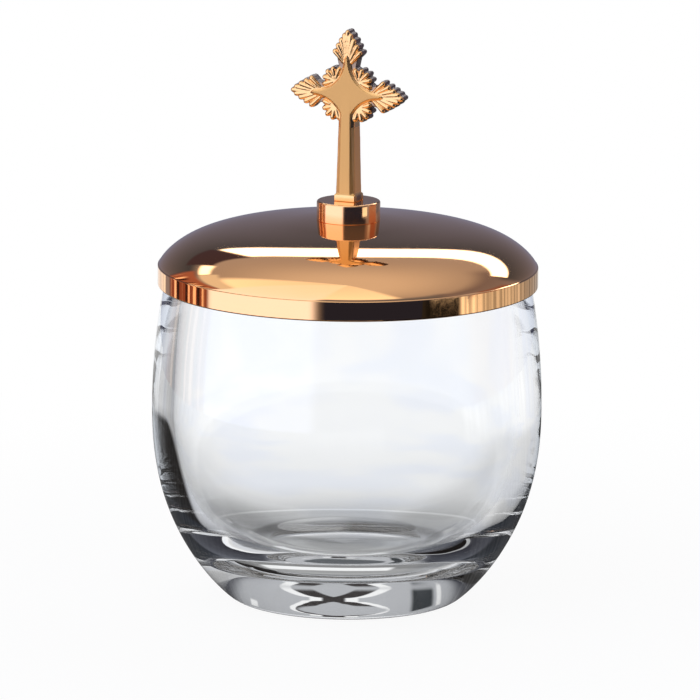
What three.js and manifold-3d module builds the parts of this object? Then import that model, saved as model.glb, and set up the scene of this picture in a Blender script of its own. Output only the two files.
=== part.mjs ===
// Covered ablution cup: a heavy glass bowl, a spun metal lid that drops over its rim, and a cast
// cross finial that a cap nut holds on the lid. Millimetres, +Z up, origin at the centre of the foot.
// The cross faces -Y.
import * as THREE from "three";
import { mergeVertices } from "three/addons/utils/BufferGeometryUtils.js";
import Module from "manifold-3d";

const wasm = await Module();
wasm.setup();

// Glass bowl
const FOOT_RADIUS = 20.6; // outside, where the side would meet the table
const FOOT_EDGE = 0.7; // rounding of that corner
const FOOT_RING_WIDTH = 4.2; // flat ring that the glass stands on
const PUNT_DEPTH = 1.3; // hollow under the base, inside that ring
const BELLY_RADIUS = 35.9; // widest, outside
const BELLY_HEIGHT = 36;
const BELLY_POWER = 2.35; // powers of the curve from foot to belly
const BELLY_FULLNESS = 0.86;
const NECK_RADIUS = 33.8; // outside, level with the lid's lower edge
const LIP_INSET = 1.0; // how much narrower the lip is than the neck
const BELLY_WALL = 3.9;
const LIP_WALL = 2.2;
const FLOOR_HEIGHT = 9.6; // of the inside, above the table
const FLOOR_FLATNESS = 5.2; // power of the inside curve: higher is flatter
const SHOULDER_POWER = 2; // of the curve from the belly to the neck

// Lid
const LID_EDGE_HEIGHT = 58.6; // of the lid's lower edge, above the table
const LID_WALL = 0.8;
const BAND_HEIGHT = 3.75;
const BAND_STEP = 0.2; // the dome starts this much inside the band
const BAND_EDGE = 0.25; // rounding of the lower edge
const DOME_RISE = 8.45;
const DOME_ROUNDNESS = 4.9; // powers of the dome's curve
const DOME_FALL = 0.8;
const CROWN_SLOPE = 0.095; // fall for each millimetre outwards, under that curve
const LID_PLAY = 0.4; // between the band's inside and the neck
const SEAT_GAP = 0.3; // between the lid's inside and the lip

// Collar and fixing
const COLLAR_RADIUS = 5.85;
const COLLAR_HEIGHT = 3.6;
const COLLAR_CHAMFER = 0.35;
const SEAT_MARGIN = 0.5; // flat of the lid's crown, past the collar
const POST_RADIUS = 1.5;
const POST_PLAY = 0.1; // in the holes of the collar, lid and washers
const THREAD_PLAY = 0.05; // in the nut
const WASHER_RADIUS = 4.5;
const WASHER_THICKNESS = 0.8;
const LOCK_WASHER_RADIUS = 2.8;
const LOCK_WASHER_THICKNESS = 0.8;
const LOCK_WASHER_GAP = 0.7;
const NUT_FLATS = 5.5;
const NUT_HEX_HEIGHT = 2.4;
const NUT_DOME_HEIGHT = 2.5;
const NUT_END_WALL = 0.9; // metal under the end of the nut's hole
const POST_END_GAP = 0.4; // from the post's end to the end of that hole

// Cross
const CENTRE_HEIGHT = 19.9; // of the cross's centre above the collar
const ARM_REACH = 11.35; // from the centre to each side tip
const TOP_REACH = 12.0; // from the centre to the top tip
const FACE_DEPTH = 1.65; // half the thickness at the raised panel
const PANEL_REACH = 6.6; // from the centre to each point of the panel
const PANEL_WAIST = 2.35; // the panel's corners lie this far out along X and along Z
const PANEL_TIP = 0.62; // half the panel's width at its points
const PANEL_NOSE = 1; // beyond each point the panel runs out to a ridge this long
const PANEL_BEVEL = 0.42;
const WEB_DEPTH = 1.05; // half the thickness between the flutes
const FLUTE_ROOT_DEPTH = 1.3; // half the thickness of a flute where it starts
const FLUTE_TIP_DEPTH = 1.55; // and near its end
const FLUTE_WIDTH = 0.56; // half the width of a flute near its end
const FAN_LENGTH = 6.25; // from the tip back to where the arm's outermost flutes start
const FAN_ROOT_STEP = 0.45; // each next pair starts this much nearer the tip
const FAN_HALF_WIDTH = 2.85; // of an arm's fan, at its outermost flutes
const FAN_SWEEP = 3.8; // those flutes end this far short of the tip
const FAN_SWEEP_POWER = 1.3;
const FAN_SIDE_FLUTES = 4; // on each side of the middle flute
const CORNER_REACH = 6.05; // of the fans between the arms
const CORNER_ROOT = 3.3;
const CORNER_SPREAD = 124; // degrees, between the outer flutes of a corner fan
const CORNER_FLUTES = 5;
const STEM_TOP = { halfWidth: 1.45, halfDepth: FACE_DEPTH, halfFlat: 0.75 };
const STEM_FOOT = { halfWidth: 1.92, halfDepth: 1.9, halfFlat: 0.98 };
const STEM_BEVEL = 0.42; // depth of the slope beside the stem's raised flat
const PLINTH_HALF_WIDTH = 2.08;
const PLINTH_HALF_DEPTH = 2;
const PLINTH_HEIGHT = 1.5;
const PLINTH_CHAMFER = 0.35;

// Smoothness
const ROUND_STEPS = 56;
const SMALL_STEPS = 30;
const POST_STEPS = 24;
const CURVE_STEPS = 9;
const SHOULDER_STEPS = 5;
const FLOOR_STEPS = 11;
const PUNT_STEPS = 4;
const FOOT_STEPS = 3;
const PANEL_STEPS = 7;
const LIP_STEPS = 6;
const BAND_EDGE_STEPS = 3;
const NUT_DOME_STEPS = 6;
const SIDE_CROWDING = 1.3; // draws the points of the glass's side towards the foot

// Solids: geometry in, solid out, and back again

function solid(geometry) {
  const bare = geometry.clone();
  bare.deleteAttribute("normal");
  bare.deleteAttribute("uv");
  const merged = mergeVertices(bare, 1e-4);
  return new wasm.Manifold(
    new wasm.Mesh({
      numProp: 3,
      vertProperties: new Float32Array(merged.attributes.position.array),
      triVerts: new Uint32Array(merged.index.array),
    }),
  );
}

function geometryOf(manifold) {
  const mesh = manifold.getMesh();
  const geometry = new THREE.BufferGeometry();
  geometry.setAttribute("position", new THREE.BufferAttribute(mesh.vertProperties, 3));
  geometry.setIndex(new THREE.BufferAttribute(mesh.triVerts, 1));
  const flat = geometry.toNonIndexed();
  flat.computeVertexNormals();
  return flat;
}

function join(solids) {
  return solids.reduce((all, next) => all.add(next));
}

// A body turned about Z from [radius, height] pairs that run up its outside and down its inside
function turned(profile, steps) {
  const points = profile.map(([radius, height]) => new THREE.Vector2(radius, height));
  return new THREE.LatheGeometry(points, steps).rotateX(Math.PI / 2);
}

function ring(inner, outer, bottom, top, steps) {
  return turned(
    [
      [inner, bottom],
      [outer, bottom],
      [outer, top],
      [inner, top],
      [inner, bottom],
    ],
    steps,
  );
}

function cylinder(radius, bottom, top, steps) {
  return new THREE.CylinderGeometry(radius, radius, top - bottom, steps)
    .rotateX(Math.PI / 2)
    .translate(0, 0, (top + bottom) / 2);
}

// n + 1 values from 0 to 1, both ends included
function shares(n) {
  return Array.from({ length: n + 1 }, (_, i) => i / n);
}

// Points of an arc about (x, z), from one angle to another in degrees
function arc(x, z, radius, from, to, steps) {
  return shares(steps).map((s) => {
    const a = THREE.MathUtils.degToRad(THREE.MathUtils.lerp(from, to, s));
    return [x + radius * Math.cos(a), z + radius * Math.sin(a)];
  });
}

// The lid's form, seen from its lower edge

const BAND_INSIDE = NECK_RADIUS + LID_PLAY;
const BAND_OUTSIDE = BAND_INSIDE + LID_WALL;
const DOME_RADIUS = BAND_OUTSIDE - BAND_STEP;
const CROWN_FLAT = COLLAR_RADIUS + SEAT_MARGIN;
const CROWN_HEIGHT = BAND_HEIGHT + DOME_RISE;

// Height of a dome of the given radius and rise: flat over the collar's seat, then a shallow cone that
// rounds off towards the rim
function domeHeight(r, radius, rise) {
  const past = Math.max(0, r - CROWN_FLAT);
  const span = radius - CROWN_FLAT;
  const curve = (1 - (past / span) ** DOME_ROUNDNESS) ** DOME_FALL;
  return CROWN_SLOPE * (span - past) + (rise - CROWN_SLOPE * span) * curve;
}

const domeInside = (r) =>
  BAND_HEIGHT - BAND_STEP + domeHeight(r, DOME_RADIUS - LID_WALL, DOME_RISE + BAND_STEP - LID_WALL);

// Shares that crowd towards 1, where the dome curves most
const domeShares = shares(CURVE_STEPS).map((s) => Math.sin((s * Math.PI) / 2));

function lidShell() {
  const hole = POST_RADIUS + POST_PLAY;
  const place = (s, radius) => THREE.MathUtils.lerp(CROWN_FLAT, radius, s);
  const outside = domeShares
    .map((s) => place(s, DOME_RADIUS))
    .map((r) => [r, BAND_HEIGHT + domeHeight(r, DOME_RADIUS, DOME_RISE)])
    .reverse();
  const inside = domeShares
    .map((s) => place(s, DOME_RADIUS - LID_WALL))
    .map((r) => [r, domeInside(r)]);
  const profile = [
    [BAND_INSIDE, BAND_EDGE],
    ...arc(BAND_OUTSIDE - BAND_EDGE, BAND_EDGE, BAND_EDGE, -90, 0, BAND_EDGE_STEPS),
    [BAND_OUTSIDE, BAND_HEIGHT - BAND_STEP],
    ...outside,
    [hole, CROWN_HEIGHT],
    [hole, CROWN_HEIGHT - LID_WALL],
    ...inside,
    [BAND_INSIDE, BAND_HEIGHT - 2 * BAND_STEP],
    [BAND_INSIDE, BAND_EDGE],
  ];
  return turned(profile, ROUND_STEPS);
}

// The lip takes its height from the lid's inside, which it carries

const LIP_RADIUS = NECK_RADIUS - LIP_INSET;
const LIP_ROUND = LIP_WALL / 2;
const lipArc = arc(LIP_RADIUS - LIP_ROUND, 0, LIP_ROUND, 0, 180, LIP_STEPS);
const LIP_HEIGHT =
  LID_EDGE_HEIGHT - SEAT_GAP + Math.min(...lipArc.map(([r, up]) => domeInside(r) - up));

function sideRadius(height) {
  const up = height / BELLY_HEIGHT;
  const swell = (1 - (1 - up) ** BELLY_POWER) ** BELLY_FULLNESS;
  return THREE.MathUtils.lerp(FOOT_RADIUS, BELLY_RADIUS, swell);
}

// From the foot's rounded corner up to the neck, with closer points where the side curves most
function glassOutside() {
  const side = shares(CURVE_STEPS).map((s) => {
    const height = THREE.MathUtils.lerp(FOOT_EDGE, BELLY_HEIGHT, s ** SIDE_CROWDING);
    return [sideRadius(height), height];
  });
  const shoulder = shares(SHOULDER_STEPS)
    .slice(1)
    .map((s) => [
      BELLY_RADIUS - (BELLY_RADIUS - NECK_RADIUS) * s ** SHOULDER_POWER,
      THREE.MathUtils.lerp(BELLY_HEIGHT, LID_EDGE_HEIGHT, s),
    ]);
  return [...side, ...shoulder];
}

// From the lip down to the middle of the floor
function glassInside() {
  const radius = BELLY_RADIUS - BELLY_WALL;
  const lipInside = LIP_RADIUS - LIP_WALL;
  const wall = shares(SHOULDER_STEPS).map((s) => [
    radius - (radius - lipInside) * s ** SHOULDER_POWER,
    THREE.MathUtils.lerp(BELLY_HEIGHT, LIP_HEIGHT, s),
  ]);
  const bowl = shares(FLOOR_STEPS)
    .slice(1)
    .map((s) => {
      const a = (s * Math.PI) / 2;
      return [
        radius * Math.cos(a) ** (2 / FLOOR_FLATNESS),
        BELLY_HEIGHT - (BELLY_HEIGHT - FLOOR_HEIGHT) * Math.sin(a),
      ];
    });
  return [...wall.reverse(), ...bowl];
}

function glassBowl() {
  const ringOutside = FOOT_RADIUS - FOOT_EDGE;
  const ringInside = ringOutside - FOOT_RING_WIDTH;
  const punt = shares(PUNT_STEPS).map((s) => {
    const a = (s * Math.PI) / 2;
    return [ringInside * Math.sin(a), PUNT_DEPTH * Math.cos(a) ** 2];
  });
  const foot = new THREE.QuadraticBezierCurve(
    new THREE.Vector2(ringOutside, 0),
    new THREE.Vector2(FOOT_RADIUS, 0),
    new THREE.Vector2(sideRadius(FOOT_EDGE), FOOT_EDGE),
  )
    .getPoints(FOOT_STEPS)
    .slice(0, -1)
    .map((p) => [p.x, p.y]);
  const lip = lipArc.slice(0, -1).map(([r, up]) => [r, LIP_HEIGHT + up]);
  return turned([...punt, ...foot, ...glassOutside(), ...lip, ...glassInside()], ROUND_STEPS);
}

// Collar and fixing, with z = 0 at the lid's crown

function collar() {
  const hole = POST_RADIUS + POST_PLAY;
  return turned(
    [
      [hole, 0],
      [COLLAR_RADIUS, 0],
      [COLLAR_RADIUS, COLLAR_HEIGHT - COLLAR_CHAMFER],
      [COLLAR_RADIUS - COLLAR_CHAMFER, COLLAR_HEIGHT],
      [hole, COLLAR_HEIGHT],
      [hole, 0],
    ],
    SMALL_STEPS,
  );
}

const WASHER_TOP = -LID_WALL;
const LOCK_WASHER_TOP = WASHER_TOP - WASHER_THICKNESS;
const NUT_TOP = LOCK_WASHER_TOP - LOCK_WASHER_THICKNESS;
const NUT_BOTTOM = NUT_TOP - NUT_HEX_HEIGHT - NUT_DOME_HEIGHT;
const POST_BOTTOM = NUT_BOTTOM + NUT_END_WALL + POST_END_GAP;

function washer() {
  const hole = POST_RADIUS + POST_PLAY;
  return ring(hole, WASHER_RADIUS, WASHER_TOP - WASHER_THICKNESS, WASHER_TOP, SMALL_STEPS);
}

function lockWasher() {
  const hole = POST_RADIUS + POST_PLAY;
  const whole = solid(ring(hole, LOCK_WASHER_RADIUS, NUT_TOP, LOCK_WASHER_TOP, SMALL_STEPS));
  const past = 2 * LOCK_WASHER_THICKNESS;
  const slot = new THREE.BoxGeometry(LOCK_WASHER_GAP, 2 * LOCK_WASHER_RADIUS, past);
  slot.translate(0, -LOCK_WASHER_RADIUS, (NUT_TOP + LOCK_WASHER_TOP) / 2);
  return geometryOf(whole.subtract(solid(slot)));
}

function capNut() {
  const cornerRadius = NUT_FLATS / Math.sqrt(3);
  const hex = solid(cylinder(cornerRadius, NUT_TOP - NUT_HEX_HEIGHT, NUT_TOP, 6));
  const chamfer = cornerRadius - NUT_FLATS / 2;
  const rounded = solid(
    turned(
      [
        [0, NUT_TOP - NUT_HEX_HEIGHT],
        [NUT_FLATS / 2, NUT_TOP - NUT_HEX_HEIGHT],
        [cornerRadius, NUT_TOP - NUT_HEX_HEIGHT + chamfer],
        [cornerRadius, NUT_TOP - chamfer / 2],
        [NUT_FLATS / 2, NUT_TOP],
        [0, NUT_TOP],
      ],
      SMALL_STEPS,
    ),
  );
  const domeRadius = NUT_FLATS / 2 - chamfer;
  const insideHex = NUT_TOP - NUT_HEX_HEIGHT / 2;
  const dome = solid(
    turned(
      [
        ...shares(NUT_DOME_STEPS).map((s) => {
          const a = (s * Math.PI) / 2;
          return [domeRadius * Math.sin(a), NUT_BOTTOM + NUT_DOME_HEIGHT * (1 - Math.cos(a))];
        }),
        [domeRadius, insideHex],
        [0, insideHex],
      ],
      SMALL_STEPS,
    ),
  );
  const hole = solid(
    cylinder(POST_RADIUS + THREAD_PLAY, NUT_BOTTOM + NUT_END_WALL, NUT_TOP + NUT_END_WALL, POST_STEPS),
  );
  return geometryOf(hex.intersect(rounded).add(dome).subtract(hole));
}

// Cross, with z = 0 at the collar's top. Its face lies in the XZ plane.

// A body lofted through sections with equal counts of points, each a place with two directions and the
// outline's points along them
function loft(sections) {
  const count = sections[0].outline.length;
  const vertices = sections.flatMap(({ place, right, out, outline }) =>
    outline.flatMap(([a, b]) =>
      place.clone().addScaledVector(right, a).addScaledVector(out, b).toArray(),
    ),
  );
  const faces = [];
  for (let i = 0; i + 1 < sections.length; i += 1) {
    for (let j = 0; j < count; j += 1) {
      const a = i * count + j;
      const b = i * count + ((j + 1) % count);
      faces.push(a, b, a + count, b, b + count, a + count);
    }
  }
  const last = (sections.length - 1) * count;
  for (let j = 1; j + 1 < count; j += 1) {
    faces.push(0, j + 1, j, last, last + j, last + j + 1);
  }
  const geometry = new THREE.BufferGeometry();
  geometry.setAttribute("position", new THREE.Float32BufferAttribute(vertices, 3));
  geometry.setIndex(faces);
  return geometry;
}

// A level section of an upright body
function level(height, outline) {
  return {
    place: new THREE.Vector3(0, 0, height),
    right: new THREE.Vector3(1, 0, 0),
    out: new THREE.Vector3(0, 1, 0),
    outline,
  };
}

const CENTRE = new THREE.Vector3(0, 0, CENTRE_HEIGHT);
const FRONT = new THREE.Vector3(0, -1, 0);

// A point of the cross's middle plane, from the centre: along an arm, and across it
function armPoint(turn, along, across) {
  const a = THREE.MathUtils.degToRad(turn);
  return new THREE.Vector3(
    along * Math.cos(a) - across * Math.sin(a),
    0,
    along * Math.sin(a) + across * Math.cos(a),
  ).add(CENTRE);
}

// One flute of a fan: a rounded rib that widens and thickens from its root to a blunt end
const FLUTE_SECTION = [
  [1, 0],
  [0.75, 0.7],
  [0, 1],
  [-0.75, 0.7],
  [-1, 0],
  [-0.75, -0.7],
  [0, -1],
  [0.75, -0.7],
];
const FLUTE_STATIONS = [
  { at: 0, width: 0.4, depth: 0 },
  { at: 0.7, width: 1, depth: 1 },
  { at: 0.92, width: 0.85, depth: 0.92 },
  { at: 1, width: 0.35, depth: 0.6 },
];

function flute(root, tip) {
  const along = tip.clone().sub(root).normalize();
  const sections = FLUTE_STATIONS.map(({ at, width, depth }) => {
    const halfWidth = FLUTE_WIDTH * width;
    const halfDepth = THREE.MathUtils.lerp(FLUTE_ROOT_DEPTH, FLUTE_TIP_DEPTH, depth);
    return {
      place: root.clone().lerp(tip, at),
      right: new THREE.Vector3().crossVectors(FRONT, along),
      out: FRONT,
      outline: FLUTE_SECTION.map(([a, b]) => [a * halfWidth, b * halfDepth]),
    };
  });
  return solid(loft(sections));
}

// A plate in the cross's plane, from points that run round it
function plate(points, halfDepth, bevel = 0) {
  const shape = new THREE.Shape(points.map((p) => new THREE.Vector2(p.x, p.z)));
  const geometry = new THREE.ExtrudeGeometry(shape, {
    depth: 2 * (halfDepth - bevel),
    bevelEnabled: bevel > 0,
    bevelThickness: bevel,
    bevelSize: bevel,
    bevelOffset: -bevel,
    bevelSegments: 1,
  });
  return solid(geometry.rotateX(Math.PI / 2).translate(0, halfDepth - bevel, 0));
}

// The pointed fan at the end of an arm: flutes to both sides of its middle line
function armFan(turn, reach) {
  const sides = shares(2 * FAN_SIDE_FLUTES).map((s) => 2 * s - 1);
  const tips = sides.map((side) => [
    reach - FAN_SWEEP * Math.abs(side) ** FAN_SWEEP_POWER,
    FAN_HALF_WIDTH * side,
  ]);
  const flutes = tips.map(([along, across], i) => {
    const step = FAN_ROOT_STEP * FAN_SIDE_FLUTES * (1 - Math.abs(sides[i]));
    const root = reach - FAN_LENGTH + step;
    return flute(armPoint(turn, root, PANEL_TIP * sides[i]), armPoint(turn, along, across));
  });
  const web = tips.map(([along, across]) =>
    armPoint(turn, along - FLUTE_WIDTH, across * (1 - FLUTE_WIDTH / FAN_HALF_WIDTH)),
  );
  const outline = [armPoint(turn, 0, -PANEL_TIP), ...web, armPoint(turn, 0, PANEL_TIP)];
  return join([plate(outline, WEB_DEPTH), ...flutes]);
}

// The round fan in the corner between two arms
function cornerFan(turn) {
  const length = CORNER_REACH - CORNER_ROOT;
  const root = armPoint(turn, CORNER_ROOT, 0);
  const spread = THREE.MathUtils.degToRad(CORNER_SPREAD);
  const tips = shares(CORNER_FLUTES - 1).map((s) => {
    const a = (s - 0.5) * spread;
    return armPoint(turn, CORNER_ROOT + length * Math.cos(a), length * Math.sin(a));
  });
  const web = tips.map((tip) => tip.clone().lerp(root, FLUTE_WIDTH / length));
  return join([plate([CENTRE, ...web], WEB_DEPTH), ...tips.map((tip) => flute(root, tip))]);
}

// The raised panel: four points joined by hollow curves that pass through the waist
function panel() {
  const c =
    (PANEL_REACH ** 2 + PANEL_TIP ** 2 - 2 * PANEL_WAIST ** 2) /
    (2 * (PANEL_REACH + PANEL_TIP - 2 * PANEL_WAIST));
  const radius = Math.SQRT2 * (c - PANEL_WAIST);
  const start = Math.atan2(PANEL_TIP - c, PANEL_REACH - c);
  const end = Math.atan2(PANEL_REACH - c, PANEL_TIP - c) - 2 * Math.PI;
  const points = [0, 90, 180, 270].flatMap((turn) => [
    armPoint(turn, PANEL_REACH + PANEL_NOSE, 0),
    ...shares(PANEL_STEPS).map((s) => {
      const a = THREE.MathUtils.lerp(start, end, s);
      return armPoint(turn, c + radius * Math.cos(a), c + radius * Math.sin(a));
    }),
  ]);
  return plate(points, FACE_DEPTH, PANEL_BEVEL);
}

// The stem: a tapered bar with a raised flat on each face and a slope to each side of it
function stem() {
  const outline = ({ halfWidth, halfDepth, halfFlat }) => {
    const edge = halfDepth - STEM_BEVEL;
    return [
      [halfWidth, -edge],
      [halfWidth, edge],
      [halfFlat, halfDepth],
      [-halfFlat, halfDepth],
      [-halfWidth, edge],
      [-halfWidth, -edge],
      [-halfFlat, -halfDepth],
      [halfFlat, -halfDepth],
    ];
  };
  return solid(
    loft([level(PLINTH_HEIGHT / 2, outline(STEM_FOOT)), level(CENTRE_HEIGHT, outline(STEM_TOP))]),
  );
}

// The square block under the stem, with its top edges cut off
function plinth() {
  const square = (inset) => {
    const x = PLINTH_HALF_WIDTH - inset;
    const y = PLINTH_HALF_DEPTH - inset;
    return [
      [x, -y],
      [x, y],
      [-x, y],
      [-x, -y],
    ];
  };
  return solid(
    loft([
      level(0, square(0)),
      level(PLINTH_HEIGHT - PLINTH_CHAMFER, square(0)),
      level(PLINTH_HEIGHT, square(PLINTH_CHAMFER)),
    ]),
  );
}

function cross() {
  const post = solid(
    cylinder(POST_RADIUS, POST_BOTTOM - COLLAR_HEIGHT, PLINTH_HEIGHT / 2, POST_STEPS),
  );
  return geometryOf(
    join([
      stem(),
      plinth(),
      post,
      armFan(0, ARM_REACH),
      armFan(90, TOP_REACH),
      armFan(180, ARM_REACH),
      ...[45, 135, 225, 315].map(cornerFan),
      panel(),
    ]),
  );
}

// Assembly

const gold = new THREE.MeshStandardMaterial({ color: 0xe0a050, roughness: 0.12, metalness: 1 });
const brass = new THREE.MeshStandardMaterial({ color: 0xb58a48, roughness: 0.3, metalness: 1 });
const steel = new THREE.MeshStandardMaterial({ color: 0xa8a8a8, roughness: 0.35, metalness: 1 });
const glass = new THREE.MeshStandardMaterial({
  color: 0xf2f6f8,
  roughness: 0.02,
  metalness: 0,
  transparent: true,
  opacity: 0.35,
});

function piece(name, geometry, material) {
  const mesh = new THREE.Mesh(geometry, material);
  mesh.name = name;
  return mesh;
}

const cup = new THREE.Group();
cup.add(piece("glass_bowl", glassBowl(), glass));

const lid = new THREE.Group();
lid.position.z = LID_EDGE_HEIGHT;
lid.add(piece("lid_shell", lidShell(), gold));
cup.add(lid);

const finial = new THREE.Group();
finial.position.z = CROWN_HEIGHT;
finial.add(piece("collar", collar(), gold));
finial.add(piece("flat_washer", washer(), brass));
finial.add(piece("lock_washer", lockWasher(), steel));
finial.add(piece("cap_nut", capNut(), brass));
const crossMesh = piece("cross", cross(), gold);
crossMesh.position.z = COLLAR_HEIGHT;
finial.add(crossMesh);
lid.add(finial);

export default cup;
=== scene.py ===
import math

import bmesh
import bpy
from mathutils import Matrix, Vector, noise


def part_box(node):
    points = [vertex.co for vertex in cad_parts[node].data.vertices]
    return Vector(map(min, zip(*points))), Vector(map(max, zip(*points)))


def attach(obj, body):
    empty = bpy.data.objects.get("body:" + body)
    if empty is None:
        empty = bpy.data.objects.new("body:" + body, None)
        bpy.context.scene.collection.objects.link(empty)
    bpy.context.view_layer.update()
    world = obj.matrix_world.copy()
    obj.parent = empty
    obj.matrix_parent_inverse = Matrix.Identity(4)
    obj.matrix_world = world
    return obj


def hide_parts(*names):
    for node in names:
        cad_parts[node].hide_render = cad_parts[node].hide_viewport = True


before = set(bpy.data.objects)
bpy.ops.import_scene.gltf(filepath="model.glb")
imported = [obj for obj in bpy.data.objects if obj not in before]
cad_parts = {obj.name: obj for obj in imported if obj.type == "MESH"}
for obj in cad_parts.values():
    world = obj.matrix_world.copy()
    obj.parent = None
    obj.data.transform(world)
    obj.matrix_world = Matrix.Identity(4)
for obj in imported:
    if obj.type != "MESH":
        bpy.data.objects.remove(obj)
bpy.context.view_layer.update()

# Sizes are in millimetres and angles in degrees, unless a comment says otherwise
MM = 0.001

# A radius no greater than this lies on the axis
ON_AXIS = 1e-6

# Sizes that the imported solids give
_, glass_high = (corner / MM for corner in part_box("glass_bowl"))
lid_low, lid_high = (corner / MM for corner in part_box("lid_shell"))
collar_low, collar_high = (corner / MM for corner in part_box("collar"))
washer_low, washer_high = (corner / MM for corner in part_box("flat_washer"))
cross_low, cross_high = (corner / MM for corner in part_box("cross"))

# Glass
FOOT_RADIUS = 20.6
FOOT_EDGE = 0.7
FOOT_RING_WIDTH = 4.2
PUNT_DEPTH = 1.3
BELLY_RADIUS = glass_high.y
BELLY_HEIGHT = 36
BELLY_POWER = 2.35
BELLY_FULLNESS = 0.86
BELLY_WALL = 3.9
NECK_RADIUS = 33.8
SHOULDER_POWER = 2
LIP_RADIUS = 32.8
LIP_WALL = 2.2
LIP_ROUND = LIP_WALL / 2
LIP_HEIGHT = glass_high.z - LIP_ROUND
FLOOR_HEIGHT = 9.6
FLOOR_FLATNESS = 5.2

# Steps of the glass's profile, in the order in which it runs: out under the foot, up, and back in
PUNT_STEPS = 24
FOOT_EDGE_STEPS = 8
SIDE_STEPS = 56
SIDE_CROWDING = 1.3
SHOULDER_STEPS = 26
LIP_STEPS = 18
BOWL_STEPS = 70
GLASS_STEPS = 288
GLASS_SHARP = 40

# Waves in the glass
RIPPLE = 0.05
RIPPLE_LENGTH = 11
RIPPLE_START = 4
RIPPLE_RISE = 10
RIPPLE_TOP = 30
RIPPLE_FALL = 12

# Lid
LID_EDGE = lid_low.z
CROWN = lid_high.z
LID_WALL = 0.8
BAND_OUTSIDE = lid_high.y
BAND_INSIDE = BAND_OUTSIDE - LID_WALL
BAND_HEIGHT = 3.75
BAND_STEP = 0.2
BAND_EDGE = 0.25
BAND_INNER_EDGE = 0.15
STEP_ROUND = 0.14
STEP_ROUND_END = 80
STEP_ROUND_STEPS = 6
DOME_RADIUS = BAND_OUTSIDE - BAND_STEP
DOME_ROUNDNESS = 4.9
DOME_FALL = 0.8
DOME_STEPS = 90
DOME_INSIDE_STEPS = 60
CROWN_SLOPE = 0.095
CROWN_FLAT = 6.35
LID_STEPS = 288

# Edges of turned metal: a flat starts this far past a rounding, so that its shading stays flat
FLAT_START = 0.03
EDGE_STEPS = 8
SMALL_EDGE_STEPS = 4
METAL_SHARP = 35

# Collar and fixing
COLLAR_RADIUS = collar_high.y
COLLAR_EDGE = 0.35
COLLAR_UNDER_EDGE = 0.1
COLLAR_STEPS = 160
WASHER_EDGE = 0.1
WASHER_EDGE_STEPS = 3
WASHER_STEPS = 96
POST_RADIUS = 1.5
POST_PLAY = 0.1
POST_STEPS = 48
HOLE_RADIUS = POST_RADIUS + POST_PLAY

# Cross
CENTRE_DROP = 12.0
CENTRE = cross_high.z - CENTRE_DROP
ARM_REACH = cross_high.x
TOP_REACH = cross_high.z - CENTRE
FACE_DEPTH = 1.65
PANEL_REACH = 6.6
PANEL_WAIST = 2.35
PANEL_TIP = 0.62
PANEL_NOSE = 1
PANEL_BEVEL = 0.42
PANEL_SIDE_STEPS = 24
LEAST_MITRE = 0.5
WEB_DEPTH = 1.05
FAN_LENGTH = 6.25
FAN_ROOT_STEP = 0.45
FAN_HALF_WIDTH = 2.85
FAN_SWEEP = 3.8
FAN_SWEEP_POWER = 1.3
FAN_SIDE_FLUTES = 4
CORNER_REACH = 6.05
CORNER_ROOT = 3.3
CORNER_SPREAD = 124
CORNER_FLUTES = 5

# Stem and plinth; the stem's ends have a half width, a half depth and half the width of their flat
STEM_TOP = (1.45, FACE_DEPTH, 0.75)
STEM_FOOT = (1.92, 1.9, 0.98)
STEM_BEVEL = 0.42
PLINTH_HALF_WIDTH = 2.08
PLINTH_HALF_DEPTH = 2.0
PLINTH_HEIGHT = 1.5
PLINTH_CHAMFER = 0.35
PLINTH_TOP = collar_high.z + PLINTH_HEIGHT
STEM_START = collar_high.z + PLINTH_HEIGHT / 2

# Flutes of the cross: the width and depth of the body are shares, from the root (0) to where the
# round end starts (1); the end's sections are shares of a quarter turn
FLUTE_WIDTH = 0.56
FLUTE_ROOT_DEPTH = 1.3
FLUTE_TIP_DEPTH = 1.55
FLUTE_BODY = [
    (0, 0.4, 0), (0.2, 0.55, 0.25), (0.4, 0.7, 0.5),
    (0.6, 0.85, 0.75), (0.8, 0.95, 0.93), (1, 1, 1),
]
FLUTE_END = (0.3, 0.55, 0.75, 0.9, 0.98)
FLUTE_END_DROP = 0.45
FLUTE_SQUARENESS = 0.7
FLUTE_SIDES = 24

# The skin round the parts of the cross
CAST_VOXEL = 0.11
CAST_SMOOTHING = 3
CAST_SOFTENING = 0.5

# Camera, as the photograph was taken; its clip distances are in metres
CAMERA_TURN = 24
CAMERA_TILT = 11.6
CAMERA_DISTANCE = 1900
CAMERA_AIM = 46.3
CAMERA_ASIDE = 0.5
CAMERA_ROLL = 0.5
CAMERA_CLIP = (0.05, 20)
SENSOR = 36
LENS = 530.5


def lerp(a, b, s):
    return a + (b - a) * s


def shares(n):
    return [i / n for i in range(n + 1)]


def arc(x, z, radius, start, end, steps):
    angles = [math.radians(lerp(start, end, s)) for s in shares(steps)]
    return [(x + radius * math.cos(a), z + radius * math.sin(a)) for a in angles]


def new_object(name, vertices, faces):
    mesh = bpy.data.meshes.new(name)
    mesh.from_pydata([[c * MM for c in v] for v in vertices], [], faces)
    made = bmesh.new()
    made.from_mesh(mesh)
    bmesh.ops.recalc_face_normals(made, faces=made.faces)
    made.to_mesh(mesh)
    made.free()
    obj = bpy.data.objects.new(name, mesh)
    bpy.context.scene.collection.objects.link(obj)
    return obj


# Smooth shading that keeps edges over an angle sharp
def smooth(obj, angle):
    obj.data.shade_smooth()
    obj.data.set_sharp_from_angle(angle=math.radians(angle))


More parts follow.
